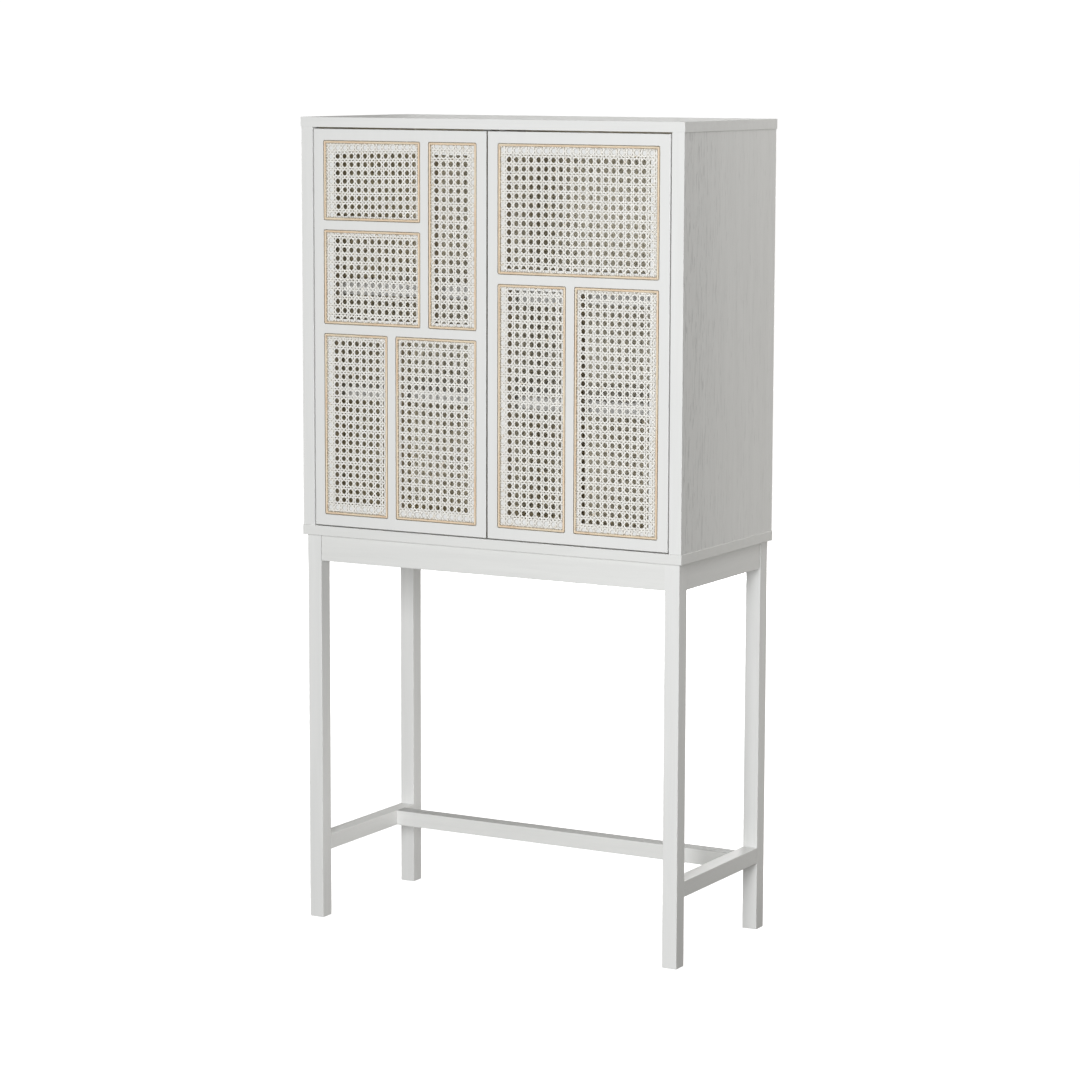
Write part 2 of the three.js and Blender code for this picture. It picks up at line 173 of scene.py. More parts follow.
class Nodes:
    """A short way to build one material's node tree."""

    def __init__(self, name):
        self.material = bpy.data.materials.new(name)
        self.material.use_nodes = True
        self.tree = self.material.node_tree
        self.shader = self.tree.nodes["Principled BSDF"]

    def add(self, kind, **settings):
        node = self.tree.nodes.new(kind)
        for key, value in settings.items():
            setattr(node, key, value)
        return node

    def feed(self, node, values):
        """Sets a node's inputs, each from another node's output or to a plain value. None leaves
        an input as it is."""
        for key, value in values.items():
            if isinstance(value, bpy.types.NodeSocket):
                self.tree.links.new(value, node.inputs[key])
            elif value is not None:
                node.inputs[key].default_value = value

    def coordinates(self, attribute=None):
        """A mesh attribute, or the place in the object in metres."""
        if attribute:
            return self.add("ShaderNodeAttribute", attribute_name=attribute).outputs["Vector"]
        return self.add("ShaderNodeTexCoord").outputs["Object"]

    def axis(self, index, attribute=None):
        split = self.add("ShaderNodeSeparateXYZ")
        self.feed(split, {0: self.coordinates(attribute)})
        return split.outputs[index]

    def noise(self, scale, detail=4.0, roughness=0.5, distortion=0.0, attribute=None):
        """Noise whose features are about `scale` millimetres long, a length for each axis."""
        unit = 1.0 if attribute else MM
        mapping = self.add("ShaderNodeMapping")
        self.feed(mapping, {
            "Vector": self.coordinates(attribute), "Scale": [1 / (size * unit) for size in scale],
        })
        node = self.add("ShaderNodeTexNoise")
        self.feed(node, {
            "Vector": mapping.outputs["Vector"], "Scale": 1.0, "Detail": detail,
            "Roughness": roughness, "Distortion": distortion,
        })
        return node.outputs["Fac"]

    def ramp(self, value, first, second, start=0.35, end=0.65):
        """The first colour, going over to the second as the value rises from start to end."""
        node = self.add("ShaderNodeValToRGB")
        stops = ((start, first), (end, second))
        for element, (place, colour) in zip(node.color_ramp.elements, stops):
            element.position = place
            element.color = (*colour, 1.0)
        self.feed(node, {"Fac": value})
        return node.outputs["Color"]

    def span(self, value, low, high, start=0.3, end=0.7):
        """Maps a value from start..end to low..high."""
        node = self.add("ShaderNodeMapRange")
        self.feed(node, {
            "Value": value, "From Min": start, "From Max": end, "To Min": low, "To Max": high,
        })
        return node.outputs["Result"]

    def math(self, operation, *values):
        node = self.add("ShaderNodeMath", operation=operation)
        self.feed(node, dict(enumerate(values)))
        return node.outputs[0]

    def times(self, first, second):
        return self.math("MULTIPLY", first, second)

    def within(self, box):
        """1 inside a box of (low, high) corners in object space, and 0 outside it."""
        inside = 1.0
        for axis in range(3):
            place = self.axis(axis)
            inside = self.times(self.math("GREATER_THAN", place, box[0][axis]), inside)
            inside = self.times(self.math("LESS_THAN", place, box[1][axis]), inside)
        return inside

    def crevice(self, reach_mm, strength):
        """A mask for painted shade: 0 on open surfaces, up to `strength` in corners and gaps narrower
        than `reach_mm`.
        """
        node = self.add("ShaderNodeAmbientOcclusion", samples=8)
        self.feed(node, {"Distance": reach_mm * MM})
        return self.span(node.outputs["AO"], strength, 0.0, 0.25, 0.9)

    def mix(self, factor, first, second):
        """The first colour, going over to the second as the factor rises to 1."""
        node = self.add("ShaderNodeMix", data_type="RGBA")
        values = {0: factor}
        for socket, colour in ((6, first), (7, second)):
            values[socket] = (*colour, 1.0) if isinstance(colour, tuple) else colour
        self.feed(node, values)
        return node.outputs[2]

    def bump(self, height, strength, distance_mm, onto=None):
        node = self.add("ShaderNodeBump")
        self.feed(node, {
            "Strength": strength, "Distance": distance_mm * MM, "Height": height, "Normal": onto,
        })
        return node.outputs["Normal"]

    def finish(self, colour, roughness, normal=None, coat=(None, None)):
        """Ends the material. A coat is its weight and its roughness."""
        self.feed(self.shader, {
            "Base Color": colour, "Roughness": roughness, "Normal": normal,
            "Coat Weight": coat[0], "Coat Roughness": coat[1],
        })
        return self.material


def shade(tone, share):
    return tuple(value * share for value in tone)


def lacquer(name, grain, tone, inner_shade_tone=None, streaked_shaded_from=None, depth=1.0, dark_walls=(),
            shaded_gaps=(), shaded_top_from=None):
    """Sprayed lacquer over fine-grained wood. `grain` is the axis that the grain runs along, and
    `depth` how plainly it shows. A warm tint on the cabinet's inner faces is painted shade. A
    board with `streaked_shaded_from` has streaks of figure on the faces further out than that,
    and painted shade that darkens them towards the front. Inside the boxes of `dark_walls` the
    board is dark brown, and the whole board gets painted shade wherever another surface lies
    within 2 mm; inside those of `shaded_gaps` it gets painted shade wherever another piece stands
    close. The top face above the height `shaded_top_from` is painted grey shade."""
    n = Nodes(name)
    fine, broad = [1.1] * 3, [14.0] * 3
    fine[grain], broad[grain] = 38.0, 240.0
    pores = n.noise(fine, 3.0, 0.6)
    figure = n.noise(broad, 3.0, distortion=0.6)
    film = n.noise((2.2, 2.2, 2.2), 2.0)
    cloud = n.noise((160.0, 160.0, 160.0), 2.0)
    body = n.ramp(figure, shade(tone, 1 - 0.04 * depth), tone)
    body = n.mix(n.span(pores, 0.0, 0.1 * depth, 0.52, 0.66), body, shade(tone, 0.8))
    body = n.mix(n.span(cloud, 0.0, 0.22), body, shade(tone, 0.97))
    if streaked_shaded_from:
        body = streaks_and_front_shade(n, body, tone, streaked_shaded_from)
    # Painted shade: a warm tint on the cabinet's inner faces stands for the dim, warm light inside.
    if inner_shade_tone:
        inner = n.ramp(figure, shade(inner_shade_tone, 0.94), inner_shade_tone)
        inner = n.mix(n.span(pores, 0.0, 0.3, 0.5, 0.66), inner, shade(inner_shade_tone, 0.82))
        body = n.mix(n.within(CAVITY), body, inner)
    # Painted shade: the board goes brown wherever another surface lies within 2 mm, as in the pockets
    # under the cane and in corners.
    if dark_walls:
        body = n.mix(n.crevice(2.0, 0.95), body, CORNER_SHADE_TONE)
    # Painted shade where the doors meet: dark wherever the other door stands close.
    for box in shaded_gaps:
        body = n.mix(n.times(n.within(box), n.crevice(7.0, 1.0)), body, GAP_SHADE_TONE)
    # The walls of the door openings and bores are dark brown.
    for box in dark_walls:
        body = n.mix(n.within(box), body, n.ramp(film, WALL_BROWN_DARK, WALL_BROWN_PALE))
    # Painted shade: the top face above this height is grey.
    if shaded_top_from is not None:
        top_shade = n.span(n.axis(2), 0.0, 1.0, shaded_top_from - 0.5 * MM, shaded_top_from)
        body = n.mix(top_shade, body, n.ramp(figure, TOP_SHADE_DARK, TOP_SHADE_PALE))
    relief = n.bump(film, 0.12, 0.04, n.bump(pores, 0.25, 0.05))
    return n.finish(body, n.span(film, 0.36, 0.46), relief, (0.12, 0.25))


def streaks_and_front_shade(n, body, tone, outer_face):
    """Streaks of figure on the faces further from the middle than `outer_face`, more of them to the
    front, and painted shade that darkens those faces towards the front.
    """
    streaks = n.noise((4.0, 4.0, 46.0), 4.0, 0.62, 1.2)
    front = CAD_BOX[0].y
    outside = n.math("GREATER_THAN", n.math("ABSOLUTE", n.axis(0)), outer_face)
    near_front = n.times(n.span(n.axis(1), 1.0, 0.0, front, front + STREAK_SHADE_REACH), outside)
    # Painted shade: the outer faces grow darker towards the front.
    body = n.mix(n.times(near_front, 0.4), body, shade(tone, 0.84))
    streaked = n.times(n.span(streaks, 0.0, 1.0, 0.54, 0.64), near_front)
    body = n.mix(n.times(streaked, 0.9), body, shade(tone, 0.6))
    faint = n.times(n.span(streaks, 0.0, 0.55, 0.53, 0.68), outside)
    return n.mix(faint, body, shade(tone, 0.82))


# The strands and the splints carry their own coordinates in millimetres, as attributes.
# "grain" is (across, along, a number of the strand's own), and "rim" on the cane is (distance to
# the panel's edge, x, z). ANYWHERE is the length of a noise that doesn't change along an axis.
ANYWHERE = 1e4
ANY_TURN = 6.28


def webbing(name, tone, warm, shadow, rind_and_shade, bead_shade):
    """Bleached cane strands: streaks along each strand, darker edges that are partly painted shade,
    and each has its own tone. Painted shade lies in dark clumps along the bead."""
    n = Nodes(name)
    streak = n.noise((0.35, 26.0, 1.0), 3.0, 0.6, attribute="grain")
    strand = n.noise((ANYWHERE, 70.0, 0.37), 1.0, attribute="grain")
    patch = n.noise((3.0, 16.0, 0.11), 2.0, attribute="grain")
    body = n.ramp(strand, shadow, tone, 0.3, 0.62)
    body = n.mix(n.span(patch, 0.0, 0.7, 0.62, 0.76), body, warm)
    body = n.mix(n.span(streak, 0.0, 0.3, 0.5, 0.72), body, shadow)
    from_middle = n.math("ABSOLUTE", n.axis(0, "grain"))
    # Darker edges: partly the cane's own colour and partly painted shade along each strand.
    body = n.mix(n.span(from_middle, 0.0, 0.65, 0.58, 0.84), body, rind_and_shade)
    # Painted shade: dark clumps on the cane next to the bead.
    reach = BEAD_REACH / MM
    beside_bead = n.span(n.axis(0, "rim"), 1.0, 0.0, reach - 0.4, reach + 0.6)
    clumps = n.span(n.noise((ANYWHERE, 2.1, 2.1), 2.0, attribute="rim"), 0.0, 1.0, 0.43, 0.55)
    body = n.mix(n.times(n.times(beside_bead, clumps), 0.85), body, bead_shade)
    return n.finish(body, n.span(streak, 0.42, 0.6), n.bump(streak, 0.35, 0.08), (0.15, 0.3))


def rattan(name, pale, honey, dark):
    """Unpainted rattan splint: long fibres, honey streaks, a few dark pores, and painted shade in a
    ragged dark inner edge and a thin dark outer one."""
    n = Nodes(name)
    fibre = n.noise((0.3, 34.0, 1.0), 4.0, 0.6, attribute="grain")
    cloud = n.noise((4.0, 60.0, 0.21), 2.0, attribute="grain")
    pores = n.noise((0.22, 3.5, 1.0), 2.0, attribute="grain")
    body = n.ramp(cloud, honey, pale, 0.3)
    body = n.mix(n.span(fibre, 0.0, 0.45, 0.45, 0.75), body, honey)
    body = n.mix(n.span(pores, 0.0, 0.55, 0.66, 0.8), body, dark)
    across = n.axis(0, "grain")
    width = BEAD_WIDTH / MM
    # Painted shade: ragged dark bites along the inner edge, and a dark line along the outer edge.
    shade_bites = n.span(n.noise((ANYWHERE, 1.7, 1.0), 2.0, attribute="grain"), 0.0, 1.0, 0.42, 0.56)
    inner_edge = n.span(across, 0.0, 1.0, width * 0.72, width * 0.92)
    body = n.mix(n.times(n.times(shade_bites, inner_edge), 0.85), body, dark)
    body = n.mix(n.span(across, 0.6, 0.0, 0.15, 0.6), body, dark)
    return n.finish(body, n.span(fibre, 0.42, 0.58), n.bump(fibre, 0.3, 0.08))


def plain(name, tone, dark, clouds, texture, roughness, relief, metallic=None):
    """One tone with faint clouds, and a fine texture such as scratches or a moulded spark finish."""
    n = Nodes(name)
    body = n.ramp(n.noise((clouds,) * 3, 2.0), shade(tone, dark), tone, 0.3, 0.7)
    fine = n.noise(*texture)
    n.feed(n.shader, {"Metallic": metallic})
    return n.finish(body, n.span(fine, *roughness), n.bump(fine, *relief))


# The space that the side, top, bottom and back panels enclose, with their inner faces, which get
# painted warm shade.
CAVITY = (
    (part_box("side_panel_left")[1].x - SKIN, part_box("door_frame_left")[1].y,
     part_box("bottom_panel")[1].z - SKIN),
    (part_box("side_panel_right")[0].x + SKIN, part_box("back_panel")[0].y + SKIN,
     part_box("top_panel")[0].z + SKIN),
)
# Where the door boards are dark brown, in the openings, and where the doors meet each other, which gets
# painted shade.
DARK_OPENING_WALLS, MEETING_EDGES = [], []
for side, sx in SIDES.items():
    low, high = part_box(f"door_frame_{side}")
    inner = high.x if sx < 0 else low.x
    MEETING_EDGES.append(((inner - SKIN, low.y, low.z), (inner + SKIN, high.y, high.z)))
    low.y += POCKET_DEPTH + SKIN
    high.y -= SKIN
    DARK_OPENING_WALLS.append((low + DOOR_EDGE, high - DOOR_EDGE))

WHITE = (0.86, 0.86, 0.85)
DOOR_WHITE = (0.845, 0.845, 0.835)
LOW_WHITE = (0.835, 0.835, 0.82)
# Painted light: the shelves are a lighter white than the other boards.
SHELF_PAINTED_LIGHT = (0.96, 0.955, 0.935)
# Painted warm shade for the inner faces of the side, top and bottom panels, and of the back panel.
SIDE_INNER_SHADE = (0.82, 0.745, 0.57)
BACK_INNER_SHADE = (0.96, 0.90, 0.75)
# Painted shade in the door boards' corners and pockets, and in the gap where the doors meet.
CORNER_SHADE_TONE = (0.34, 0.29, 0.21)
GAP_SHADE_TONE = (0.20, 0.175, 0.13)
# Dark brown for the walls of the door openings.
WALL_BROWN_DARK, WALL_BROWN_PALE = (0.34, 0.28, 0.19), (0.42, 0.35, 0.24)
# Painted grey shade for the long stretcher's top face.
TOP_SHADE_DARK, TOP_SHADE_PALE = (0.40, 0.40, 0.39), (0.46, 0.46, 0.45)
METAL_TONE = (0.72, 0.71, 0.69)

LACQUER_X = lacquer("lacquer_grain_across", 0, LOW_WHITE)
SHELF_X = lacquer("shelf_grain_across", 0, SHELF_PAINTED_LIGHT)
# The long stretcher's top face is painted grey shade, as it lies in the shade under the cabinet.
LONG_X = lacquer(
    "stretcher_grain_across", 0, LOW_WHITE, shaded_top_from=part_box("stretcher_long")[1].z - 0.15 * MM,
)
LACQUER_Y = lacquer("lacquer_grain_deep", 1, WHITE)
LACQUER_Z = lacquer("lacquer_grain_upright", 2, WHITE)
DOOR_Z = lacquer(
    "door_grain_upright", 2, DOOR_WHITE, depth=0.4, dark_walls=DARK_OPENING_WALLS, shaded_gaps=MEETING_EDGES,
)
PANEL_X = lacquer("panel_grain_across", 0, WHITE, SIDE_INNER_SHADE)
BOTTOM_X = lacquer("bottom_grain_across", 0, LOW_WHITE, SIDE_INNER_SHADE)
PANEL_Z = lacquer("panel_grain_upright", 2, WHITE, BACK_INNER_SHADE)
# The side panels: streaks of figure, and painted shade towards the front.
PANEL_STREAKED_SHADED = lacquer(
    "panel_streaks_painted_shade", 2, WHITE, SIDE_INNER_SHADE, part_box("side_panel_right")[1].x - SKIN,
)
CANE = webbing(
    "white_cane", (0.95, 0.94, 0.915), (0.68, 0.54, 0.35), (0.89, 0.875, 0.83), (0.50, 0.45, 0.36),
    (0.30, 0.25, 0.17),
)
SPLINT = rattan("natural_splint", (0.87, 0.76, 0.58), (0.83, 0.62, 0.43), (0.36, 0.25, 0.15))
NICKEL = plain(
    "nickel_plate", METAL_TONE, 0.86, 7.0, ((0.25, 6.0, 0.25), 3.0), (0.22, 0.34), (0.08, 0.02), 1.0,
)
PLASTIC = plain(
    "latch_plastic", METAL_TONE, 0.94, 9.0, ((0.4, 0.4, 0.4), 2.0), (0.4, 0.55), (0.2, 0.03),
)

# ---- Mesh helpers ----


def plain_box(low, high):
    bm = bmesh.new()
    bmesh.ops.create_cube(bm, size=1.0)
    bmesh.ops.scale(bm, vec=high - low, verts=bm.verts)
    bmesh.ops.translate(bm, vec=(low + high) / 2, verts=bm.verts)
    return bm


def rounded_box(low, high, radius, segments=3):
    """A box between two corners, with all its edges rounded."""
    bm = plain_box(low, high)
    round_edges(bm, bm.edges[:], radius, segments)
    return bm


def round_edges(bm, edges, radius, segments=2):
    bmesh.ops.bevel(
        bm, geom=edges, offset=radius, segments=segments, profile=0.5,
        affect="EDGES", clamp_overlap=True,
    )


def round_corners(bm, radius):
    """Rounds the outward edges where a shape turns by more than 35 degrees."""
    limit = math.radians(35)
    edges = [e for e in bm.edges if e.is_manifold and e.calc_face_angle_signed() > limit]
    round_edges(bm, edges, radius)


def prism(outline, low, high):
    """A closed prism along Y, from an outline of (x, z) points that run anticlockwise."""
    bm = bmesh.new()
    front = [bm.verts.new((x, low, z)) for x, z in outline]
    back = [bm.verts.new((x, high, z)) for x, z in outline]
    bm.faces.new(front)
    bm.faces.new(back[::-1])
    for i in range(len(outline)):
        j = (i + 1) % len(outline)
        bm.faces.new((front[j], front[i], back[i], back[j]))
    bmesh.ops.recalc_face_normals(bm, faces=bm.faces)
    return bm


def rounded_outline(x0, x1, z0, z1, radius, steps=5):
    """A rectangle with quarter-round corners, as (x, z) points."""
    x0, x1, z0, z1 = x0 + radius, x1 - radius, z0 + radius, z1 - radius
    points = []
    for cx, cz, start in ((x1, z0, 270), (x1, z1, 0), (x0, z1, 90), (x0, z0, 180)):
        for i in range(steps + 1):
            angle = math.radians(start + 90 * i / steps)
            points.append((cx + radius * math.cos(angle), cz + radius * math.sin(angle)))
    return points


def lathe(profile, origin, axis, steps):
    """Turns (radius, height) points about an axis. The ends of the profile lie on the axis."""
    bm = bmesh.new()
    turn = Vector((0, 0, 1)).rotation_difference(Vector(axis)).to_matrix()
    origin = Vector(origin)
    rings = []
    for radius, height in profile:
        ring = []
        for i in range(steps if radius else 1):
            angle = 2 * math.pi * i / steps
            local = Vector((radius * math.cos(angle), radius * math.sin(angle), height))
            ring.append(bm.verts.new(origin + turn @ local))
        rings.append(ring)
    for first, second in zip(rings, rings[1:]):
        for i in range(steps):
            j = (i + 1) % steps
            corners = (first[i % len(first)], first[j % len(first)],
                       second[j % len(second)], second[i % len(second)])
            bm.faces.new(tuple(dict.fromkeys(corners)))
    bmesh.ops.recalc_face_normals(bm, faces=bm.faces)
    return bm


def mesh_from(bm, name="scratch"):
    mesh = bpy.data.meshes.new(name)
    bm.to_mesh(mesh)
    bm.free()
    return mesh


def joined(shapes):
    """Several shapes as one, left apart inside it."""
    total = bmesh.new()
    for shape in shapes:
        mesh = mesh_from(shape)
        total.from_mesh(mesh)
        bpy.data.meshes.remove(mesh)
    return total


def carved(bm, *tool_groups):
    """Cuts each group of closed tools out of a closed shape."""
    blank, *tools = [linked("scratch", mesh_from(shape)) for shape in (bm, *map(joined, tool_groups))]
    for tool in tools:
        cut = blank.modifiers.new("cut", "BOOLEAN")
        cut.operation = "DIFFERENCE"
        cut.solver = "EXACT"
        cut.object = tool
    graph = bpy.context.evaluated_depsgraph_get()
    mesh = bpy.data.meshes.new_from_object(blank.evaluated_get(graph))
    result = bmesh.new()
    result.from_mesh(mesh)
    bpy.data.meshes.remove(mesh)
    for thing in (blank, *tools):
        data = thing.data
        bpy.data.objects.remove(thing)
        bpy.data.meshes.remove(data)
    bmesh.ops.remove_doubles(result, verts=result.verts, dist=1e-7)
    bmesh.ops.dissolve_limit(
        result, angle_limit=math.radians(0.2), verts=result.verts, edges=result.edges,
    )
    return result


def rod(radius, length, origin, axis, steps):
    return lathe(((0, 0), (radius, 0), (radius, length), (0, length)), origin, axis, steps)


def add_piece(name, shape, material, node, smooth_to=50.0):
    """Links a finished shape as a piece that rides with a CAD node's body."""
    mesh = mesh_from(shape, name) if isinstance(shape, bmesh.types.BMesh) else shape
    mesh.shade_smooth()
    mesh.set_sharp_from_angle(angle=math.radians(smooth_to))
    mesh.materials.append(material)
    piece = linked(name, mesh)
    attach(piece, NODE_BODY[node])
    return piece


def stand_in(name, shape, material, node, smooth_to=50.0, flat_faces=True):
    """Adds a piece that takes a CAD node's place."""
    piece = add_piece(name, shape, material, node, smooth_to)
    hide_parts(node)
    if flat_faces:
        piece.modifiers.new("flat_faces", "WEIGHTED_NORMAL").keep_sharp = True


# ---- Boards and sticks ----


def board(node, material, radius):
    stand_in(f"{node}_board", rounded_box(*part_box(node), radius), material, node)


def stick(node, material, axis, flush_from=None, short=(0.0, 0.0)):
    """A stick along an axis, with its long edges rounded as far as it stands free. Its ends are
    square where they meet other pieces. Above `flush_from` its edges stay square too. `short` is
    how far its two ends stop before the next piece."""
    low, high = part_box(node)
    low[axis] += short[0]
    high[axis] -= short[1]
    bm = plain_box(low, high)
    if flush_from is not None:
        bmesh.ops.bisect_plane(
            bm, geom=bm.verts[:] + bm.edges[:] + bm.faces[:],
            plane_co=(0, 0, flush_from), plane_no=(0, 0, 1),
        )
    long_edges = []
    for edge in bm.edges:
        first, second = (v.co for v in edge.verts)
        along = abs(first[axis] - second[axis]) > STICK_ROUND
        free = flush_from is None or (first.z + second.z) / 2 < flush_from - STICK_ROUND
        foot = axis == 2 and max(first.z, second.z) < low.z + STICK_ROUND
        if free and (along or foot):
            long_edges.append(edge)
    round_edges(bm, long_edges, STICK_ROUND, 3)
    stand_in(f"{node}_stick", bm, material, node, 50.0 if flush_from is None else 10.0)


def make_stand():
    apron_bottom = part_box("apron_front")[0].z
    for side in SIDES:
        stick(f"leg_front_{side}", LACQUER_Z, 2, apron_bottom)
        stick(f"leg_back_{side}", LACQUER_Z, 2)
        stick(f"apron_{side}", LACQUER_Y, 1, short=(0.0, JOINT_GAP))
        stick(f"stretcher_{side}", LACQUER_Y, 1)
    stick("apron_front", LACQUER_X, 0, short=(HAIRLINE, 0.0))
    stick("apron_back", LACQUER_X, 0)
    stick("stretcher_long", LONG_X, 0)


def pin_nodes(side):
    return [f"shelf_pin_{level}_{side}_{end}" for level in SHELVES for end in ("front", "back")]


def pin_shape(node, sx):
    """The middle of a shelf pin's outer end, its radius and its length."""
    low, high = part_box(node)
    end = (low + high) / 2
    end.x = high.x if sx > 0 else low.x
    return end, (high.z - low.z) / 2, high.x - low.x


def make_carcass():
    board("top_panel", PANEL_X, PANEL_ROUND)
    board("bottom_panel", BOTTOM_X, BOARD_ROUND)
    board("back_panel", PANEL_Z, CUT_ROUND)
    for level in SHELVES:
        board(f"shelf_{level}", SHELF_X, BOARD_ROUND)
    for side, sx in SIDES.items():
        node = f"side_panel_{side}"
        drills = []
        for pin in pin_nodes(side):
            end, radius, length = pin_shape(pin, sx)
            end.x += sx * PIN_FIT
            drills.append(rod(radius + PIN_FIT, length, end, (-sx, 0, 0), 24))
        shape = carved(rounded_box(*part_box(node), PANEL_ROUND), drills)
        stand_in(f"{node}_board", shape, PANEL_STREAKED_SHADED, node)


# ---- Fittings ----


def screw(place, axis, radius, rise):
    """The head of a countersunk screw with a cross recess, standing `rise` out of its seat."""
    edge = radius * 0.12
    head = lathe(
        ((0, -radius * 0.5), (radius * 0.55, -radius * 0.5), (radius, -edge), (radius, 0),
         (radius - edge, rise * 0.6), (radius * 0.5, rise), (0, rise)),
        place, axis, 20,
    )
    turn = Vector((0, 0, 1)).rotation_difference(Vector(axis)).to_matrix().to_4x4()
    bars = []
    for half_x, half_y in ((radius * 0.55, radius * 0.11), (radius * 0.11, radius * 0.55)):
        half = Vector((half_x, half_y, radius * 0.35))
        top = Vector((0, 0, rise))
        bar = plain_box(top - half, top + half)
        bmesh.ops.transform(bar, matrix=Matrix.Translation(place) @ turn, verts=bar.verts)
        bars.append(bar)
    return carved(head, [bars[0]], [bars[1]])


def add_screws(name, node, axis, heads):
    """Adds screw heads as one piece. Each is its place, its radius and its rise."""
    shapes = [screw(place, axis, radius, rise) for place, radius, rise in heads]
    add_piece(name, joined(shapes), NICKEL, node, 40)


def make_shelf_pins():
    for side, sx in SIDES.items():
        for node in pin_nodes(side):
            end, radius, length = pin_shape(node, sx)
            tip = radius * 0.35
            profile = (
                (0, 0), (radius - tip, 0), (radius, tip), (radius, length - tip),
                (radius - tip * 0.3, length - tip * 0.3), (radius - tip, length), (0, length),
            )
            shape = lathe(profile, end, (-sx, 0, 0), 28)
            stand_in(f"{node}_turned", shape, NICKEL, node, flat_faces=False)


def make_hinge_cup(side, level):
    """A pressed cup with its flange, two screws and the link, folded into the cup."""
    node = f"hinge_cup_{side}_{level}"
    low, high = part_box(node)
    door_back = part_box(f"door_frame_{side}")[1].y
    middle = Vector(((low.x + high.x) / 2, door_back, (low.z + high.z) / 2))
    outer = (high.x - low.x) / 2
    wall = 1.2 * MM
    rim = high.y - door_back
    floor = low.y - door_back
    bend = 0.8 * MM
    cup = lathe(
        (
            (0, floor), (outer - bend, floor), (outer, floor + bend), (outer, rim - bend * 0.5),
            (outer - bend * 0.5, rim), (outer - wall + bend * 0.3, rim),
            (outer - wall, rim - bend * 0.4), (outer - wall, floor + wall + bend),
            (outer - wall - bend, floor + wall), (0, floor + wall),
        ),
        middle, (0, 1, 0), 48,
    )
    half_width = 6.5 * MM
    half_height = (high.z - low.z) / 2
    outline = rounded_outline(
        middle.x - half_width, middle.x + half_width,
        middle.z - half_height, middle.z + half_height, 4 * MM, 8,
    )
    flange = prism(outline, door_back + 0.1 * MM, door_back + rim - 0.15 * MM)
    through = Vector((0, 20 * MM, 0))
    hole = rod(outer - wall * 0.5, 2 * through.y, middle - through, (0, 1, 0), 48)
    flange = carved(flange, [hole])
    round_corners(flange, 0.3 * MM)
    stand_in(f"{node}_pressed", joined([cup, flange]), NICKEL, node)
    seat, lift = door_back + rim - 0.3 * MM, half_height - 4.6 * MM
    heads = [((middle.x, seat, middle.z + shift), 3.2 * MM, 0.6 * MM) for shift in (-lift, lift)]
    add_screws(f"screws_cup_{side}_{level}", node, (0, 1, 0), heads)
    link_low = middle + Vector((-4.2 * MM, floor + wall + 0.6 * MM, -7.2 * MM))
    link_high = middle + Vector((4.2 * MM, rim - 1.4 * MM, 7.2 * MM))
    link = rounded_box(link_low, link_high, 1.6 * MM, 4)
    half_pivot = 9.6 * MM
    pivots = []
    for shift in (-2.6 * MM, 2.6 * MM):
        start = (middle.x + shift, door_back - 3.2 * MM, middle.z - half_pivot)
        pivots.append(rod(1.3 * MM, 2 * half_pivot, start, (0, 0, 1), 20))
    add_piece(f"link_cup_{side}_{level}", joined([link, *pivots]), NICKEL, node, 40)


def make_hinge_arm(side, sx, level):
    """The mounting plate with its two screws, and the arm with its cover and adjusting screw."""
    node = f"hinge_arm_{side}_{level}"
    low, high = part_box(node)
    plate_thick = 3 * MM
    wall_x = high.x if sx > 0 else low.x
    front, back = low.y, high.y
    middle_z = (low.z + high.z) / 2
    half_height = (high.z - low.z) / 2
    plate_front = back - 40 * MM

    def at(depth, y, z):
        """A point `depth` away from the side panel."""
        return Vector((wall_x - sx * depth, y, z))

    def block(depth0, depth1, y0, y1, half, radius, segments=3):
        a, b = at(depth0, y0, middle_z - half), at(depth1, y1, middle_z + half)
        return rounded_box(Vector(map(min, a, b)), Vector(map(max, a, b)), radius, segments)

    plate = block(0, plate_thick, plate_front, back, half_height, 1.2 * MM)
    reach = abs(low.x - high.x)
    arm = block(plate_thick - 0.4 * MM, reach - 1.5 * MM, front, back, 6 * MM, 1.5 * MM, 4)
    cover = block(reach - 3 * MM, reach, front + 9 * MM, back - 5 * MM, 5 * MM, 1.4 * MM, 4)
    round_end, half_knuckle = 2.6 * MM, 7 * MM
    start = at(reach - 5 * MM, front + round_end, middle_z - half_knuckle)
    knuckle = rod(round_end, 2 * half_knuckle, start, (0, 0, 1), 28)
    stand_in(f"{node}_pressed", joined([plate, arm, cover, knuckle]), NICKEL, node)
    seat, middle_y, lift = plate_thick - 0.1 * MM, (plate_front + back) / 2, 16 * MM
    heads = [(at(seat, middle_y, middle_z + shift), 3.4 * MM, 0.7 * MM) for shift in (-lift, lift)]
    heads.append((at(reach - 0.35 * MM, back - 12 * MM, middle_z), 2.6 * MM, 0.3 * MM))
    add_screws(f"screws_arm_{side}_{level}", node, (-sx, 0, 0), heads)


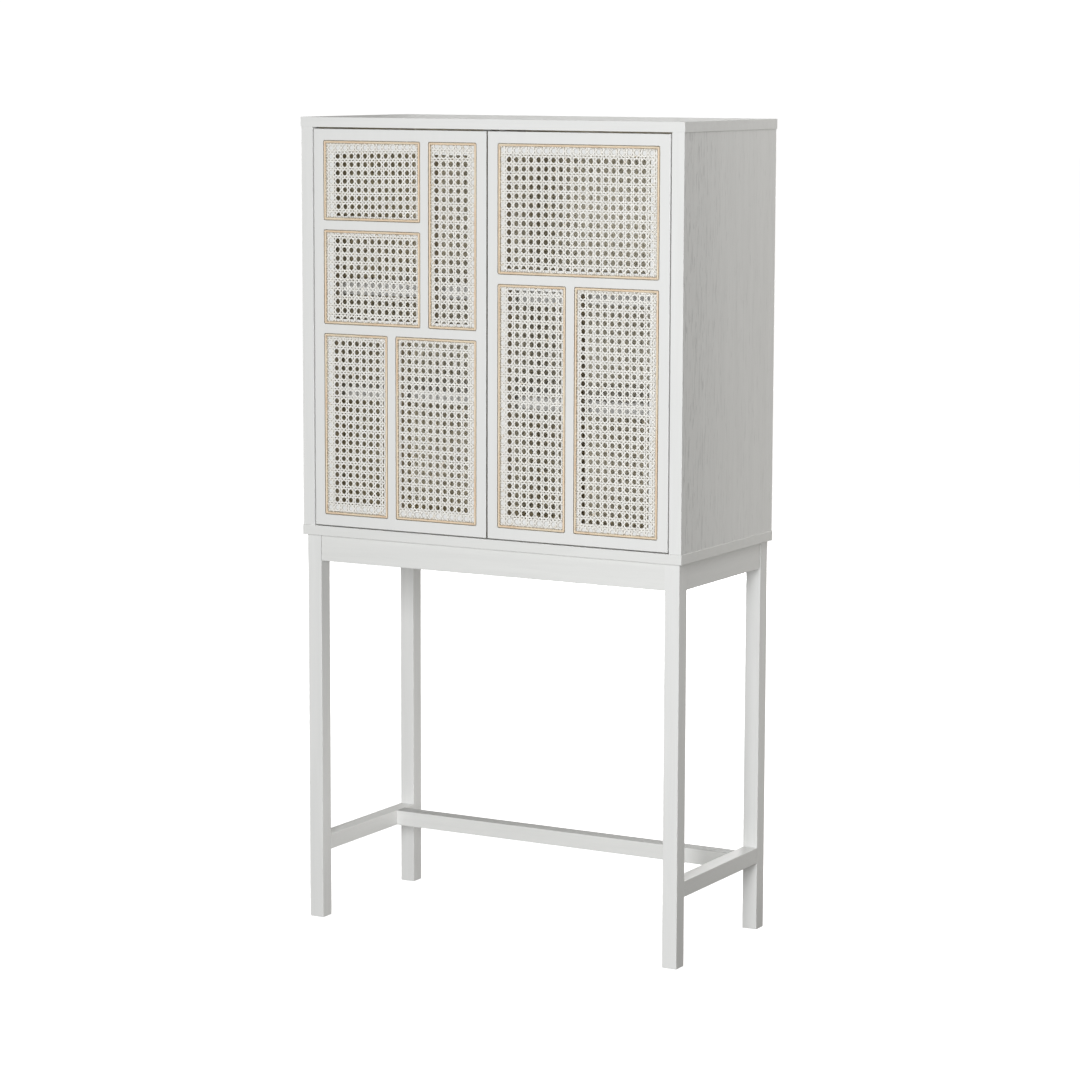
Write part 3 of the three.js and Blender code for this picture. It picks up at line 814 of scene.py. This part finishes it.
def make_latch(side):
    """A push latch: its body under the top panel, its plunger and the plate that it pushes."""
    names = ("latch_body", "latch_plunger", "strike_plate")
    body_node, plunger_node, strike_node = (f"{name}_{side}" for name in names)
    low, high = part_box(body_node)
    plunger_low, plunger_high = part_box(plunger_node)
    axis_x = (plunger_low.x + plunger_high.x) / 2
    axis_z = (plunger_low.z + plunger_high.z) / 2
    radius = (plunger_high.x - plunger_low.x) / 2
    back_wall = 5 * MM
    length = high.y - low.y - back_wall + CUTTER_MARGIN
    start = (axis_x, low.y - CUTTER_MARGIN, axis_z)
    tool = rod(radius + 0.4 * MM, length, start, (0, 1, 0), 40)
    shape = carved(rounded_box(low, high, 1.5 * MM, 4), [tool])
    stand_in(f"{body_node}_moulded", shape, PLASTIC, body_node)
    places = [low.y + share * (high.y - low.y) for share in (0.3, 0.8)]
    heads = [((axis_x, y, low.z + 0.1 * MM), 2.4 * MM, 0.4 * MM) for y in places]
    add_screws(f"screws_latch_{side}", body_node, (0, 0, -1), heads)

    length = plunger_high.y - plunger_low.y
    dome = 1.6 * MM
    dome_steps = 6
    profile = [(0, 0)]
    for i in range(1, dome_steps + 1):
        angle = math.pi / 2 * i / dome_steps
        profile.append((radius - dome + dome * math.sin(angle), dome * (1 - math.cos(angle))))
    neck = radius - 0.5 * MM
    profile += [
        (radius, 5 * MM), (neck, 5.4 * MM), (neck, 6.6 * MM), (radius, 7 * MM),
        (radius, length - 0.6 * MM), (radius - 0.6 * MM, length), (0, length),
    ]
    shape = lathe(profile, (axis_x, plunger_low.y, axis_z), (0, 1, 0), 36)
    stand_in(f"{plunger_node}_turned", shape, PLASTIC, plunger_node, flat_faces=False)

    low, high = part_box(strike_node)
    outline = rounded_outline(low.x, high.x, low.z, high.z, 2 * MM, 6)
    plate = prism(outline, low.y, high.y)
    round_corners(plate, 0.25 * MM)
    stand_in(f"{strike_node}_pressed", plate, NICKEL, strike_node)
    spot = Vector(((low.x + high.x) / 2, high.y - 0.3 * MM, low.z + 4.5 * MM))
    add_screws(f"screw_strike_{side}", strike_node, (0, 1, 0), [(spot, 2.4 * MM, 0.3 * MM)])


# ---- Doors ----


def window_names(side):
    prefix = f"cane_{side}_"
    return [name[len("cane_"):] for name in sorted(frame["nodes"]) if name.startswith(prefix)]


def pocket_box(window):
    """x0, x1, z0, z1 of the shallow pocket in the door's front."""
    low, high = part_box(f"cane_{window}")
    return low.x - TRIM_FIT, high.x + TRIM_FIT, low.z - TRIM_FIT, high.z + TRIM_FIT


def opening_box(side, window):
    """x0, x1, z0, z1 of the opening right through the door behind a pocket."""
    low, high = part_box(f"door_frame_{side}")
    x0, x1, z0, z1 = pocket_box(window)

    def step(distance, end):
        usual = EDGE_LEDGE if distance < BESIDE_EDGE else BAR_LEDGE
        return ODD_LEDGES.get((window, end), usual)

    return (
        x0 + step(x0 - low.x, "left"), x1 - step(high.x - x1, "right"),
        z0 + step(z0 - low.z, "bottom"), z1 - step(high.z - z1, "top"),
    )


def make_door_board(side):
    node = f"door_frame_{side}"
    low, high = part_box(node)
    before, behind = low.y - CUTTER_MARGIN, high.y + CUTTER_MARGIN
    pockets, openings, bores = [], [], []
    for window in window_names(side):
        outline = rounded_outline(*pocket_box(window), POCKET_CORNER)
        pockets.append(prism(outline, before, low.y + POCKET_DEPTH))
        outline = rounded_outline(*opening_box(side, window), POCKET_CORNER)
        openings.append(prism(outline, before, behind))
    for level in LEVELS:
        cup_low, cup_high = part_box(f"hinge_cup_{side}_{level}")
        radius = (cup_high.x - cup_low.x) / 2 + PIN_FIT
        floor = cup_low.y - PIN_FIT
        middle = ((cup_low.x + cup_high.x) / 2, floor, (cup_low.z + cup_high.z) / 2)
        bores.append(rod(radius, behind - floor, middle, (0, 1, 0), 48))
    shape = carved(rounded_box(low, high, BOARD_ROUND), pockets, openings, bores)
    round_corners(shape, CUT_ROUND)
    stand_in(f"{node}_board", shape, DOOR_Z, node)


def bead_corner(across, share):
    """Where a line of the bead lies near a corner, as (along, inward). `share` runs from 0 on the
    mitre to 1 where the corner ends."""
    if across >= BEAD_CORNER:
        return across + share * (BEAD_REACH - across) / 2 + MITRE_GAP, across
    angle = math.radians(45 * (1 - share))
    radius = BEAD_CORNER - across
    along, inward = (BEAD_CORNER - radius * turn(angle) for turn in (math.sin, math.cos))
    return along + MITRE_GAP, inward


def make_bead(window, rng):
    """Four half-round splints, mitred at the corners of the pocket and rounded there outside."""
    node = f"bead_{window}"
    low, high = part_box(node)
    rise = high.y - low.y
    profile = [(0.0, 0.0)]
    for i in range(BEAD_STEPS + 1):
        angle = math.pi * i / BEAD_STEPS
        height = rise * (0.15 + 0.85 * math.sin(angle))
        profile.append(((1 - math.cos(angle)) / 2 * BEAD_WIDTH, height))
    profile.append((BEAD_WIDTH, 0.0))
    count = len(profile)
    x0, x1, z0, z1 = low.x + BEAD_INSET, high.x - BEAD_INSET, low.z + BEAD_INSET, high.z - BEAD_INSET
    corners = [Vector((x, 0, z)) for x, z in ((x0, z0), (x1, z0), (x1, z1), (x0, z1))]
    verts, faces, grain = [], [], []
    corner_shares = (0.0, 0.35, 0.7, 1.0)
    ring_length, swell_length = 14 * MM, 31 * MM
    for side in range(4):
        along = corners[(side + 1) % 4] - corners[side]
        length = along.length
        along.normalize()
        inward = Vector((-along.z, 0, along.x))
        rings = max(3, round(length / ring_length))
        runs = [BEAD_REACH + (length - 2 * BEAD_REACH) * k / rings for k in range(rings + 1)]
        middle = [[(run, across) for across, _ in profile] for run in runs]
        near = [[bead_corner(across, t) for across, _ in profile] for t in corner_shares]
        far = [[(length - run, deep) for run, deep in ring] for ring in reversed(near)]
        start = len(verts)
        phase = rng.uniform(0, ANY_TURN)
        stations = near + middle + far
        for ring in stations:
            swell = 1 - 0.03 * (1 + math.sin(phase + ring[0][0] / swell_length))
            for (run, deep), (across, up) in zip(ring, profile):
                spot = corners[side] + along * run + inward * deep
                spot.y = high.y - up * swell
                verts.append(spot)
                grain.append((across / MM, run / MM, 7.0 * side + phase))
        last = start + (len(stations) - 1) * count
        for a in range(start, last, count):
            for i in range(count):
                j = (i + 1) % count
                faces.append((a + i, a + j, a + count + j, a + count + i))
        faces.append(tuple(range(start, start + count))[::-1])
        faces.append(tuple(range(last, last + count)))
    mesh = bpy.data.meshes.new(f"{node}_splints")
    mesh.from_pydata(verts, [], faces)
    put_attribute(mesh, "grain", np.array(grain))
    bm = bmesh.new()
    bm.from_mesh(mesh)
    bmesh.ops.recalc_face_normals(bm, faces=bm.faces)
    bm.to_mesh(mesh)
    bm.free()
    stand_in(f"{node}_splints", mesh, SPLINT, node, 60, flat_faces=False)


def put_attribute(mesh, name, values):
    layer = mesh.attributes.new(name, "FLOAT_VECTOR", "POINT")
    layer.data.foreach_set("vector", values.astype(np.float32).ravel())


# ---- The weave ----
# Pairs of strands run up and across, and single strands run both ways aslant, so that they
# cross each other midway between the meshes. Each crossing is (place along the strand, lift):
# lift is 1 where the strand passes in front, and -1 where it passes behind.
# Every strand goes over and under by turns.

# The profile of a strand: (share of the width, share of the thickness).
STRAND_PROFILE = ((-0.5, -0.08), (-0.26, 0.46), (0.26, 0.46), (0.5, -0.08), (0.0, -0.5))


def with_flats(crossings, start, end):
    """Turns crossings into stations: two for each crossing, with the strand level between."""
    stations = [
        (place + shift, lift) for place, lift in sorted(crossings)
        for shift in (-CROSSING_FLAT_MM, CROSSING_FLAT_MM)
        if start + 0.3 < place + shift < end - 0.3
    ]
    return np.array([(start, 0.0), *stations, (end, 0.0)]).T


def straight_strands(size, mesh, node, run):
    """Pairs of strands that run along the axis `run`, as (place along, place across, lift)."""
    span = 1 - run
    half = PAIR_HALF_MM[run]
    near = PAIR_HALF_MM[span] - PAIR_SPREAD_MM
    far = (half + PAIR_SPREAD_MM * 0.5) * mesh[run] / mesh[span]
    found = []
    first = -int(node[span] / mesh[span]) - 1
    for i in range(first, int((size[span] - node[span]) / mesh[span]) + 2):
        middle = node[span] + i * mesh[span]
        for strand in (-1, 1):
            if not -OVERRUN_MM < middle + strand * half < size[span] + OVERRUN_MM:
                continue
            sign = strand if run == 1 else -strand
            crossings = []
            place = node[run] - (int(node[run] / mesh[run]) + 2) * mesh[run]
            while place < size[run] + 2 * mesh[run]:
                crossings += [
                    (place - near, -sign), (place + near, sign),
                    (place + mesh[run] / 2 - far, -sign), (place + mesh[run] / 2 + far, sign),
                ]
                place += mesh[run]
            along, lift = with_flats(crossings, -OVERRUN_MM, size[run] + OVERRUN_MM)
            # The strands of a pair lie close at a node and wider apart midway.
            narrowing = PAIR_SPREAD_MM * np.cos(2 * np.pi * (along - node[run]) / mesh[run])
            across = middle + strand * (half - narrowing)
            found.append((along, across, lift))
    return found


def leaning_strands(width, height, mesh, node, lean):
    """Single strands that lean to the right (lean 1) or left, as (x, z, lift)."""
    slope = mesh[1] / mesh[0]
    stretch = math.hypot(1, slope)
    reach = int((width + height) / mesh[0]) + 4
    across = PAIR_HALF_MM[1] + PAIR_SPREAD_MM * 0.5
    beside = (PAIR_HALF_MM[0] + PAIR_SPREAD_MM * 0.5) / slope
    found = []
    for k in range(-reach, reach):
        at_zero = node[1] + mesh[1] / 2 - lean * slope * (node[0] + k * mesh[0])
        levels = (-OVERRUN_MM, height + OVERRUN_MM)
        ends = sorted((z - at_zero) / (lean * slope) for z in levels)
        start, end = max(-OVERRUN_MM, ends[0]), min(width + OVERRUN_MM, ends[1])
        if end - start < 3.0:
            continue
        crossings = []
        first = node[0] + (int((start - node[0]) / mesh[0]) - 2) * mesh[0]
        while first < end + mesh[0]:
            middle = first + mesh[0] / 2
            crossings += [(first - across, -lean), (first, lean), (first + across, -lean)]
            crossings += [(middle - beside, lean), (middle, -lean), (middle + beside, lean)]
            first += mesh[0]
        run, lift = with_flats([(p * stretch, l) for p, l in crossings], start * stretch, end * stretch)
        x = run / stretch
        found.append((x, at_zero + lean * slope * x, lift))
    return found


def weave_strands(width, height, mesh, hole, rng):
    """Every strand of a window, as (x, z, lift, width) arrays in millimetres from its corner."""
    node = [(hole[i] + mesh[i] / 2) % mesh[i] for i in range(2)]
    strands = []
    for run in (1, 0):
        for along, across, lift in straight_strands((width, height), mesh, node, run):
            across = across + rng.uniform(-0.1, 0.1)
            x, z = (across, along) if run == 1 else (along, across)
            strands.append((x, z, lift, STRAND_WIDTH_MM[run] * rng.uniform(0.94, 1.05)))
    for lean in (1, -1):
        for x, z, lift in leaning_strands(width, height, mesh, node, lean):
            drift = rng.uniform(-0.12, 0.12)
            strands.append((x, z + drift, lift, DIAGONAL_WIDTH_MM * rng.uniform(0.92, 1.06)))
    return strands


def trimmed(x, z, lift, width, height):
    """The part of a strand that lies inside the panel, cut off at its edges, or None."""
    inside = (x > TRIM_MM) & (x < width - TRIM_MM) & (z > TRIM_MM) & (z < height - TRIM_MM)
    kept = np.flatnonzero(inside)
    if len(kept) < 2:
        return None
    runs = np.split(kept, np.flatnonzero(np.diff(kept) > 1) + 1)
    longest = max(runs, key=len)
    first, last = longest[0], longest[-1]
    stations = [(x[i], z[i], lift[i]) for i in longest]
    for outer, inner, at in ((first - 1, first, 0), (last + 1, last, len(stations))):
        if not 0 <= outer < len(x):
            continue
        share = 1.0
        for values, top in ((x, width), (z, height)):
            step = values[outer] - values[inner]
            for edge in (TRIM_MM, top - TRIM_MM):
                if step and 0 < (edge - values[inner]) / step < share:
                    share = (edge - values[inner]) / step
        if share * math.hypot(x[outer] - x[inner], z[outer] - z[inner]) > 0.2:
            spot = tuple(v[inner] + share * (v[outer] - v[inner]) for v in (x, z, lift))
            stations.insert(at, spot) if at == 0 else stations.append(spot)
    if len(stations) < 3:
        return None
    return tuple(np.array(values) for values in zip(*stations))


def warp(x, z, waves):
    """A slow, uneven pull over the whole panel, in millimetres."""
    dx, dz = np.zeros_like(x), np.zeros_like(z)
    for ax, az, phase, size, turn in waves:
        wave = size * np.sin(x / ax + z / az + phase)
        dx += wave * math.cos(turn)
        dz += wave * math.sin(turn)
    return dx, dz


def triples(*values):
    """Three arrays of the same shape, or that stretch to it, as one list of points."""
    return np.stack(np.broadcast_arrays(*values), -1).reshape(-1, 3)


def make_cane(window, rng):
    """The woven panel of one window, pressed flat where the bead holds it down."""
    node = f"cane_{window}"
    low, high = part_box(node)
    width, height = (high.x - low.x) / MM, (high.z - low.z) / MM
    fit = TRIM_FIT / MM
    across, up, turn, (from_left, from_top) = WEBBING_MM[window]
    hole = (from_left - fit, height - (from_top - fit))
    turn = math.radians(turn)
    waves = [
        (rng.uniform(16, 60), rng.uniform(16, 60) * rng.choice((-1, 1)), rng.uniform(0, ANY_TURN),
         rng.uniform(0.08, 0.2), rng.uniform(0, ANY_TURN))
        for _ in range(7)
    ]
    corners, loops, sizes, grain, rims = [], [], [], [], []
    count = len(STRAND_PROFILE)
    shares = np.array(STRAND_PROFILE)
    total = 0
    strands = weave_strands(width, height, (across, up), hole, rng)
    for index, (x, z, lift, strand_width) in enumerate(strands):
        dx, dz = warp(x, z, waves)
        from_x, from_z = x - hole[0], z - hole[1]
        x = x + dx + (math.cos(turn) - 1) * from_x - math.sin(turn) * from_z
        z = z + dz + (math.cos(turn) - 1) * from_z + math.sin(turn) * from_x
        kept = trimmed(x, z, lift, width, height)
        if kept is None:
            continue
        x, z, lift = kept
        edge = np.minimum(np.minimum(x, width - x), np.minimum(z, height - z))
        free = np.clip((edge - PRESSED_MM) / RISE_MM, 0.0, 1.0)
        loose = WEAVE_LIFT_MM * (0.25 + 0.75 * free)
        lift = lift * loose
        centre = STRAND_THICK_MM / 2 + loose
        run = np.stack([x, z], 1)
        tangent = np.gradient(run, axis=0)
        tangent /= np.linalg.norm(tangent, axis=1, keepdims=True) + 1e-9
        normal = np.stack([-tangent[:, 1], tangent[:, 0]], 1)
        steps = np.linalg.norm(np.diff(run, axis=0), axis=1)
        places = np.concatenate([[0], np.cumsum(steps)])
        side = shares[:, 0] * strand_width
        deep = shares[:, 1] * STRAND_THICK_MM
        rings = len(x)
        x, z, edge, centre, lift, places = (v[:, None] for v in (x, z, edge, centre, lift, places))
        edge_x, edge_z = x + normal[:, :1] * side, z + normal[:, 1:] * side
        corners.append(triples(edge_x, centre + lift + deep, edge_z))
        grain.append(triples(side, places, 3.0 * index))
        rims.append(triples(edge + 0 * side, x, z))
        first = total + np.arange(rings - 1)[:, None] * count
        i = np.arange(count)[None, :]
        j = (i + 1) % count
        quads = np.stack([first + i, first + j, first + count + j, first + count + i], -1)
        loops.append(quads.reshape(-1))
        sizes += [4] * ((rings - 1) * count)
        loops.append(total + np.arange(count)[::-1])
        loops.append(total + (rings - 1) * count + np.arange(count))
        sizes += [count, count]
        total += rings * count
    x, y, z = np.concatenate(corners).T
    x, z = np.clip(x, 0, width), np.clip(z, 0, height)
    co = triples(low.x + x * MM, high.y - y * MM, low.z + z * MM)
    mesh = mesh_of(f"{node}_woven", co, np.concatenate(loops), np.array(sizes))
    put_attribute(mesh, "grain", np.concatenate(grain))
    put_attribute(mesh, "rim", np.concatenate(rims))
    stand_in(f"{node}_woven", mesh, CANE, node, 75, flat_faces=False)


def mesh_of(name, co, loops, sizes):
    mesh = bpy.data.meshes.new(name)
    mesh.vertices.add(len(co))
    mesh.vertices.foreach_set("co", co.astype(np.float32).ravel())
    mesh.loops.add(len(loops))
    mesh.loops.foreach_set("vertex_index", loops.astype(np.int32))
    mesh.polygons.add(len(sizes))
    starts = np.concatenate([[0], np.cumsum(sizes)[:-1]])
    mesh.polygons.foreach_set("loop_start", starts.astype(np.int32))
    mesh.update(calc_edges=True)
    return mesh


# ---- Stage ----


def make_floor():
    bm = bmesh.new()
    bmesh.ops.create_grid(bm, x_segments=8, y_segments=8, size=40.0)
    mesh = mesh_from(bm, "floor")
    n = Nodes("floor")
    cloud = n.noise((900.0, 900.0, 900.0), 2.0)
    colour = n.ramp(cloud, (0.90, 0.90, 0.90), (0.92, 0.92, 0.92), 0.3, 0.7)
    n.feed(n.shader, {
        "Emission Color": (1.0, 1.0, 1.0, 1.0), "Emission Strength": 0.8, "Specular IOR Level": 0.0,
    })
    mesh.materials.append(n.finish(colour, n.span(cloud, 0.8, 0.9)))
    floor = linked("floor", mesh)
    floor.location.z = -0.2 * MM
    floor.visible_diffuse = False
    floor.visible_glossy = False


def area_light(name, place, aim, size, power, colour=(1.0, 1.0, 1.0), spread=180):
    """A soft light `size` metres wide and high that faces `aim`. The camera doesn't see it."""
    data = bpy.data.lights.new(name, "AREA")
    data.spread = math.radians(spread)
    data.shape = "RECTANGLE"
    data.size, data.size_y = size
    data.energy = power
    data.color = colour
    lamp = linked(name, data)
    lamp.location = place
    lamp.rotation_euler = (Vector(aim) - Vector(place)).to_track_quat("-Z", "Y").to_euler()
    lamp.visible_camera = False


def make_light():
    """Seen by the camera, the studio is white all round. The object gets less light from it, and the
    rest from area lights."""
    world = bpy.data.worlds.new("studio")
    world.use_nodes = True
    tree = world.node_tree
    background = tree.nodes["Background"]
    seen = tree.nodes.new("ShaderNodeBackground")
    for node, colour, strength in (
        (background, (1.0, 0.988, 0.94, 1.0), 0.245), (seen, (1.0, 1.0, 1.0, 1.0), 1.05),
    ):
        node.inputs["Color"].default_value = colour
        node.inputs["Strength"].default_value = strength
    mix = tree.nodes.new("ShaderNodeMixShader")
    path = tree.nodes.new("ShaderNodeLightPath")
    tree.links.new(path.outputs["Is Camera Ray"], mix.inputs["Fac"])
    tree.links.new(background.outputs[0], mix.inputs[1])
    tree.links.new(seen.outputs[0], mix.inputs[2])
    tree.links.new(mix.outputs[0], tree.nodes["World Output"].inputs["Surface"])
    bpy.context.scene.world = world
    area_light("key", (0.92, -3.5, 1.25), (0.1, 0, 0.72), (1.0, 1.8), 93, (0.985, 1.0, 1.015))
    area_light("top", (0.9, 0.4, 2.9), (0.1, 0, 1.2), (1.2, 1.2), 10)
    area_light("fill", (0.65, 0.82, 0.85), (0.3, 0.1, 0.85), (0.25, 2.0), 2.05, (1.0, 0.975, 0.93))
    area_light("horizon", (-0.38, 4.6, 1.9), (0.0, 0, 1.2), (5.2, 1.0), 26)
    area_light("back", (-0.85, 4.0, 0.56), (0.0, 0.1, 0.56), (1.0, 1.1), 62)
    area_light("side", (-3.2, 0.9, 0.75), (-0.3, 0.05, 0.72), (1.2, 1.2), 24)
    area_light(
        "card", (0.27, 0.0, 0.24), (-0.3, 0.0, 0.13), (0.16, 0.26), 0.085, (1.0, 0.99, 0.97), 70,
    )
    bpy.context.scene.view_settings.view_transform = "Standard"


# ---- Scene ----

make_camera()
make_floor()
make_light()
make_stand()
make_carcass()
make_shelf_pins()
for side, sx in SIDES.items():
    make_door_board(side)
    for level in LEVELS:
        make_hinge_cup(side, level)
        make_hinge_arm(side, sx, level)
    make_latch(side)
    for window in window_names(side):
        make_bead(window, random.Random(f"bead {window}"))
        make_cane(window, random.Random(f"cane {window}"))
